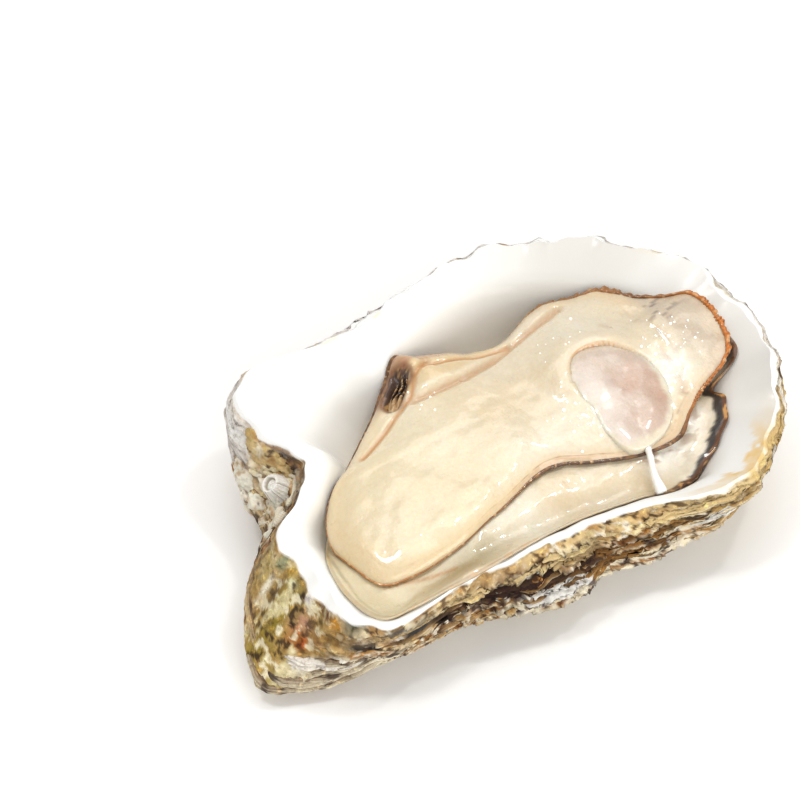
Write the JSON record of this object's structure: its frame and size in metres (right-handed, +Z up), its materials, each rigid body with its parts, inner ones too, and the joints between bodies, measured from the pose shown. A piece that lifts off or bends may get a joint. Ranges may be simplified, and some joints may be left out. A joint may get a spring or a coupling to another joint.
{
  "type": "oyster_in_shell",
  "caption": "Raw oyster on the half shell: cupped flaky lower valve with pearly inside, cream meat with dark-edged mantle and round muscle",
  "frame": {"origin": "middle of the small flat spot that the shell rests on", "axes": "+X from the hinge and beak to the wide margin, +Y to the high far side of the shell, +Z up"},
  "size_m": [0.1208, 0.0784, 0.0286],
  "materials": {
    "shell": "pearly white and glossy inside, flaky cream, ochre and grey layers outside",
    "flesh": "wet cream flesh, slightly see-through, with a thin brown mantle edge",
    "muscle": "wet pearly cut face, greyish pink",
    "gill": "wet brown frills",
    "growth": "matte chalky cream"
  },
  "bodies": {
    "root": {"shell": "shell", "lower_mantle": "flesh", "body": "flesh", "adductor_muscle": "muscle", "gills": "gill", "barnacle": "growth", "worm_tube": "growth"}
  },
  "joints": []
}
